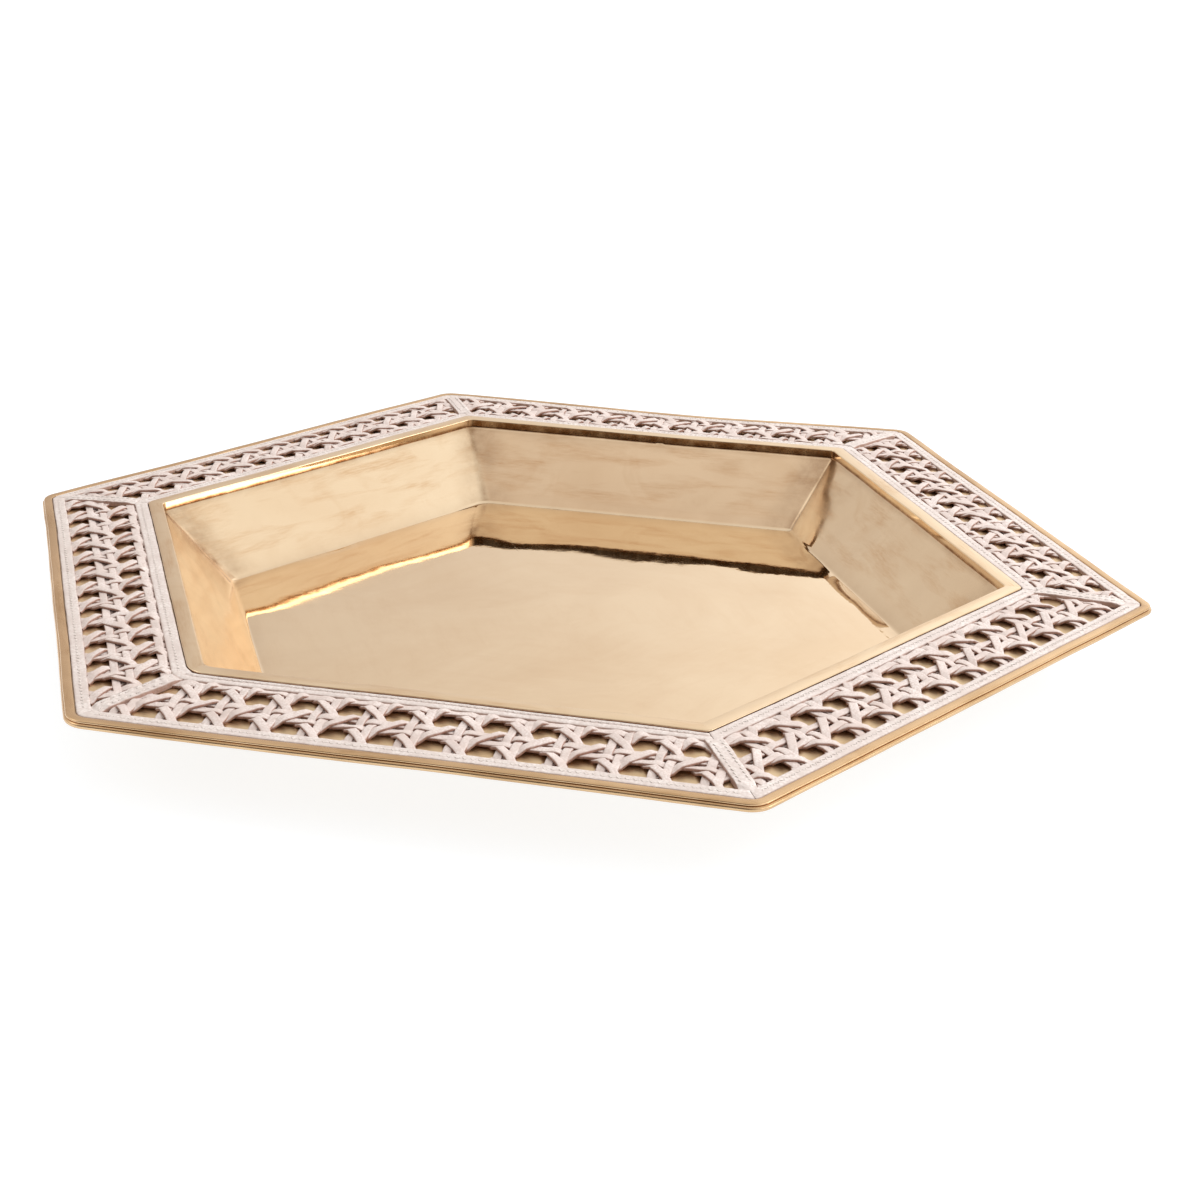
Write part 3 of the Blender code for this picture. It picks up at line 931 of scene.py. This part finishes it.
def make_weave(side):
    """All laces of one side's cane panel."""
    rng = random.Random(10 + side)
    b = Builder()
    columns = range(-7, 9)

    def centre_of(column):
        return column * WEAVE_PITCH + WEAVE_SHIFT

    for row, sign in ((0, 1), (1, -1), (1, 1)):
        v = PAIR_ROWS[row] + sign * ALONG_SPREAD
        knots = []
        for column in columns:
            first, second = (UNDER, OVER) if sign < 0 else (OVER, UNDER)
            knots.append((centre_of(column) - ACROSS_SPREAD, first))
            knots.append((centre_of(column) + ACROSS_SPREAD, second))
            hole = centre_of(column) + WEAVE_PITCH / 2
            tilt = 0.1 if sign < 0 else -0.1
            knots.append((hole - ALONG_SPREAD, MIDDLE + tilt))
            knots.append((hole + ALONG_SPREAD, MIDDLE - tilt))
        knots.sort()
        reach = half_length(v, LACE_TUCK)
        lace(b, side, (-reach, reach, lambda s, v=v: (s, v)), knots, rng)

    for column in columns:
        for sign in (-1, 1):
            u = centre_of(column) + sign * ACROSS_SPREAD
            knots = []
            for pair in PAIR_ROWS:
                first, second = (OVER, UNDER) if sign < 0 else (UNDER, OVER)
                knots.append((pair - ALONG_SPREAD, first))
                knots.append((pair + ALONG_SPREAD, second))
            for hole in HOLE_ROWS:
                knots.append((hole - ACROSS_SPREAD, MIDDLE))
                knots.append((hole + ACROSS_SPREAD, MIDDLE))
            knots.sort()
            inside = clipped(lambda s, u=u: (u, s))
            if len(inside) > SHORTEST_LACE:
                lace(b, side, (inside[0], inside[-1], lambda s, u=u: (u, s)), knots, rng)

    for column in range(-9, 11):
        for lean in (1, -1):
            crossing = centre_of(column)

            def place(s, crossing=crossing, lean=lean):
                return crossing + lean * (s - HOLE_ROWS[0]), s

            high, low = (TOP, LOW) if lean > 0 else (LOW, TOP)
            knots = []
            for hole in HOLE_ROWS:
                knots += [(hole - 2.5 * MM, high), (hole + 2.5 * MM, high)]
            for pair in PAIR_ROWS:
                knots += [(pair - 3.0 * MM, low), (pair + 3.0 * MM, low)]
            knots.sort()
            inside = clipped(place)
            if len(inside) > SHORTEST_LACE:
                lace(b, side, (inside[0], inside[-1], place), knots, rng)

    piece = b.make("woven_panel_" + SIDES[side], LACE, 50)
    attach(piece, "root")
    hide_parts("cane_panel_" + SIDES[side])


# Cross-section of a strap: share of the half width, height in mm, and mark.
STRAP_SECTION = (
    (-1.0, -1.3, 1.0),
    (-1.0, -0.30, 1.0),
    (-0.98, 0.02, 0.5),
    (-0.92, 0.12, 0.0),
    (-0.70, 0.15, 0.0),
    (-0.52, 0.13, 0.0),
    (-0.36, 0.16, 0.0),
    (0.0, 0.18, 0.0),
    (0.36, 0.16, 0.0),
    (0.52, 0.13, 0.0),
    (0.70, 0.15, 0.0),
    (0.92, 0.12, 0.0),
    (0.98, 0.02, 0.5),
    (1.0, -0.30, 1.0),
    (1.0, -1.3, 1.0),
)
PLAITS = (0.24, 0.07, 0.06, 0.06, 0.06, 0.07)  # how far each strap bulges between its stitches, in mm
STRAP_STEPS = 64
STRAP_STITCHES = 13


def strap_lift(share):
    """How far a strap arches over the laces, in mm; its outer end dives under the band."""
    lift = 0.34 + 0.54 * smooth(0.0, 0.4, math.sin(math.pi * share))
    return lift - 0.42 * smooth(0.93, 1.0, share)


def make_strap(corner):
    """Strap over the laces' ends at a corner, with two rows of stitches."""
    rng = random.Random(50 + corner)
    out, across = axes(corner_angle(corner))
    start = INNER_BAND_OUTER / COS_30 - 0.3 * MM
    end = corner_tip(OUTER_BAND_INNER, corner) + 1.0 * MM
    half = STRAP_WIDTH / 2
    b = Builder()
    rails = []
    for x, height, mark in STRAP_SECTION:
        rail = []
        for step in range(STRAP_STEPS + 1):
            share = step / STRAP_STEPS
            inset = abs(x) * half * TAN_30
            reach = start - inset + (end - start) * share
            place = out * reach + across * (x * half)
            wrinkle = noise.noise(Vector((reach * 260, x * 1.2 + reach * 90, corner * 5.0))) * 0.18
            turn = reach / (0.55 * MM) + (math.pi if x > 0 else 0.0)
            plait = math.sin(turn) * min(1.0, 2 * abs(x)) * PLAITS[corner]
            wrinkle += plait * (1 - smooth(0.85, 1.0, abs(x)))
            waver = noise.noise(Vector((reach * 110, corner * 9.0, x))) * 0.2 * MM
            place += across * waver
            lift = strap_lift(share) if height > -1 else 0.0
            place.z = rim_top(reach * COS_30) + (height + lift + wrinkle) * MM - STRAP_DROP
            rail.append(b.add(place, mark))
        rails.append(rail)
    b.skin_rails(rails)
    piece = b.make("strap_" + CORNERS[corner], BAND, 60)
    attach(piece, "root")
    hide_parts("corner_strap_" + CORNERS[corner])

    stitches = Builder()
    for row in (-0.5, 0.5):
        for index in range(STRAP_STITCHES):
            share = (index + 0.5) / STRAP_STITCHES
            reach = start + (end - start) * (0.03 + 0.94 * share) - abs(row) * half * TAN_30
            centre = out * reach + across * (row * half + rng.uniform(-0.08, 0.08) * MM)
            centre.z = rim_top(reach * COS_30) + (0.22 + strap_lift(share)) * MM - STRAP_DROP
            lean = math.radians(rng.uniform(8, 22))
            direction = out * math.cos(lean) + across * math.sin(lean)
            sideways = across * math.cos(lean) - out * math.sin(lean)
            stitch(stitches, centre, direction, sideways, 1.7 * MM, 0.18 * MM, 0.2 * MM)
    piece = stitches.make("strap_stitches_" + CORNERS[corner], THREAD, 80)
    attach(piece, "root")


# ---------------------------------------------------------------- stage

# Soft brighter and dimmer parts of the studio: direction, strength added, and how tight each is.
SKY_LOBES = (
    ((0.73, 0.40, 0.50), 0.25, 3.0),
    ((0.25, 0.90, 0.36), 0.62, 14.0),
    ((-0.22, -0.94, 0.24), -0.93, 4.4),
    ((-0.22, -0.48, 0.85), 0.07, 12.0),
    ((-0.60, 0.75, 0.25), -0.20, 14.0),
    ((0.942, 0.132, 0.31), 6.0, 110.0),
    ((-0.75, -0.10, 0.65), 1.8, 60.0),
    ((0.80, -0.35, 0.50), 1.8, 60.0),
)
SKY_LEVEL = 0.83
SKY_DARKEST = 0.045
HORIZON_LEVEL = 1.12

# Warmer parts of the studio: direction, how much, and how tight each is.
WARM_LOBES = (
    ((-0.22, -0.48, 0.85), 0.55, 12.0),
    ((-0.60, 0.75, 0.25), 0.5, 8.0),
)


def make_world():
    """Soft studio all round, with an even glow at the horizon that hides the floor's far edge."""
    scene = bpy.context.scene
    scene.view_settings.view_transform = "Standard"
    scene.view_settings.look = "None"

    world = bpy.data.worlds.new("studio")
    world.use_nodes = True
    tree = world.node_tree
    background = tree.nodes["Background"]
    heading = tree.nodes.new("ShaderNodeTexCoord").outputs["Generated"]

    def calculate(operation, first, second):
        node = tree.nodes.new("ShaderNodeMath")
        node.operation = operation
        for index, value in enumerate((first, second)):
            if isinstance(value, float):
                node.inputs[index].default_value = value
            else:
                tree.links.new(value, node.inputs[index])
        return node.outputs[0]

    def gathered(start, lobes):
        total = start
        for toward, gain, power in lobes:
            aim = tree.nodes.new("ShaderNodeVectorMath")
            aim.operation = "DOT_PRODUCT"
            aim.inputs[1].default_value = Vector(toward).normalized()
            tree.links.new(heading, aim.inputs[0])
            facing = calculate("MAXIMUM", aim.outputs["Value"], 0.0)
            lobe = calculate("MULTIPLY", calculate("POWER", facing, power), gain)
            total = calculate("ADD", lobe, total)
        return total

    level = calculate("MAXIMUM", gathered(SKY_LEVEL, SKY_LOBES), SKY_DARKEST)
    parts = tree.nodes.new("ShaderNodeSeparateXYZ")
    tree.links.new(heading, parts.inputs[0])
    horizon = tree.nodes.new("ShaderNodeMapRange")
    horizon.inputs["From Min"].default_value = 0.035
    horizon.inputs["From Max"].default_value = 0.11
    horizon.inputs["To Min"].default_value = 1.0
    horizon.inputs["To Max"].default_value = 0.0
    tree.links.new(calculate("ABSOLUTE", parts.outputs["Z"], 0.0), horizon.inputs["Value"])
    lacking = calculate("SUBTRACT", HORIZON_LEVEL, level)
    level = calculate("ADD", level, calculate("MULTIPLY", horizon.outputs["Result"], lacking))
    tree.links.new(level, background.inputs["Strength"])
    warmth = tree.nodes.new("ShaderNodeMix")
    warmth.data_type = "RGBA"
    warmth.inputs[6].default_value = (1.0, 0.965, 0.91, 1.0)
    warmth.inputs[7].default_value = (1.0, 0.81, 0.68, 1.0)
    tree.links.new(gathered(0.0, WARM_LOBES), warmth.inputs[0])
    tree.links.new(warmth.outputs[2], background.inputs["Color"])
    scene.world = world


def make_floor():
    """Wide sheet of pale paper just under the tray."""
    mesh = bpy.data.meshes.new("floor")
    size = 30.0
    corners = [(-size, -size, 0), (size, -size, 0), (size, size, 0), (-size, size, 0)]
    mesh.from_pydata(corners, [], [(0, 1, 2, 3)])
    floor = bpy.data.objects.new("floor", mesh)
    bpy.context.scene.collection.objects.link(floor)
    floor.location.z = -0.05 * MM
    pale = bpy.data.materials.new("floor_paper")
    pale.use_nodes = True
    shader = pale.node_tree.nodes["Principled BSDF"]
    shader.inputs["Base Color"].default_value = (0.30, 0.345, 0.40, 1.0)
    shader.inputs["Roughness"].default_value = 0.9
    shader.inputs["Specular IOR Level"].default_value = 0.1
    shader.inputs["Emission Color"].default_value = (1.0, 1.0, 1.0, 1.0)
    shader.inputs["Emission Strength"].default_value = 0.81
    mesh.materials.append(pale)


def make_softbox():
    """Large soft light above the right-hand side, aimed at the tray."""
    light = bpy.data.lights.new("overhead", "AREA")
    light.shape = "RECTANGLE"
    light.size = 1.1
    light.size_y = 1.1
    light.energy = 15.0
    light.color = (0.96, 0.98, 1.0)
    holder = bpy.data.objects.new("overhead", light)
    bpy.context.scene.collection.objects.link(holder)
    holder.location = (0.85, 0.30, 1.15)
    holder.rotation_euler = (-holder.location).to_track_quat("-Z", "Y").to_euler()
    holder.visible_glossy = False


def make_camera():
    """Camera to the front right of the tray, a little above it, turned slightly on its axis."""
    target = Vector((29.1 * MM, -53.3 * MM, RIM_HEIGHT))
    azimuth, elevation, roll = (math.radians(a) for a in (13.91, 21.89, 0.64))
    back = Vector((
        math.sin(azimuth) * math.cos(elevation),
        -math.cos(azimuth) * math.cos(elevation),
        math.sin(elevation),
    ))
    right = Vector((math.cos(azimuth), math.sin(azimuth), 0.0))
    up = back.cross(right)
    turned_right = right * math.cos(roll) + up * math.sin(roll)
    turned_up = up * math.cos(roll) - right * math.sin(roll)
    camera = bpy.data.cameras.new("camera")
    camera.sensor_width = 36.0
    camera.lens = 61.07
    camera.clip_start = 0.01
    holder = bpy.data.objects.new("camera", camera)
    bpy.context.scene.collection.objects.link(holder)
    turn = holder.matrix_world.to_3x3()
    for row in range(3):
        turn[row][0] = turned_right[row]
        turn[row][1] = turned_up[row]
        turn[row][2] = back[row]
    holder.matrix_world = turn.to_4x4()
    holder.location = target + back * 0.7967
    bpy.context.scene.camera = holder


make_camera()
make_world()
make_floor()
make_softbox()
make_pan()
make_collar()
make_plate()
make_border()
make_bead()
for number in range(6):
    # The front side's inner band is folded and stands a little away from the lip.
    slack = 0.45 * MM if number == 0 else 0.0
    section = FOLDED_BAND if number == 0 else FLAT_BAND
    make_band("inner_band", number, LEATHER_INNER + slack, INNER_BAND_OUTER, section)
    make_band("outer_band", number, OUTER_BAND_INNER, LEATHER_OUTER, FLAT_BAND)
    make_band_stitches(number)
    make_weave(number)
    make_strap(number)
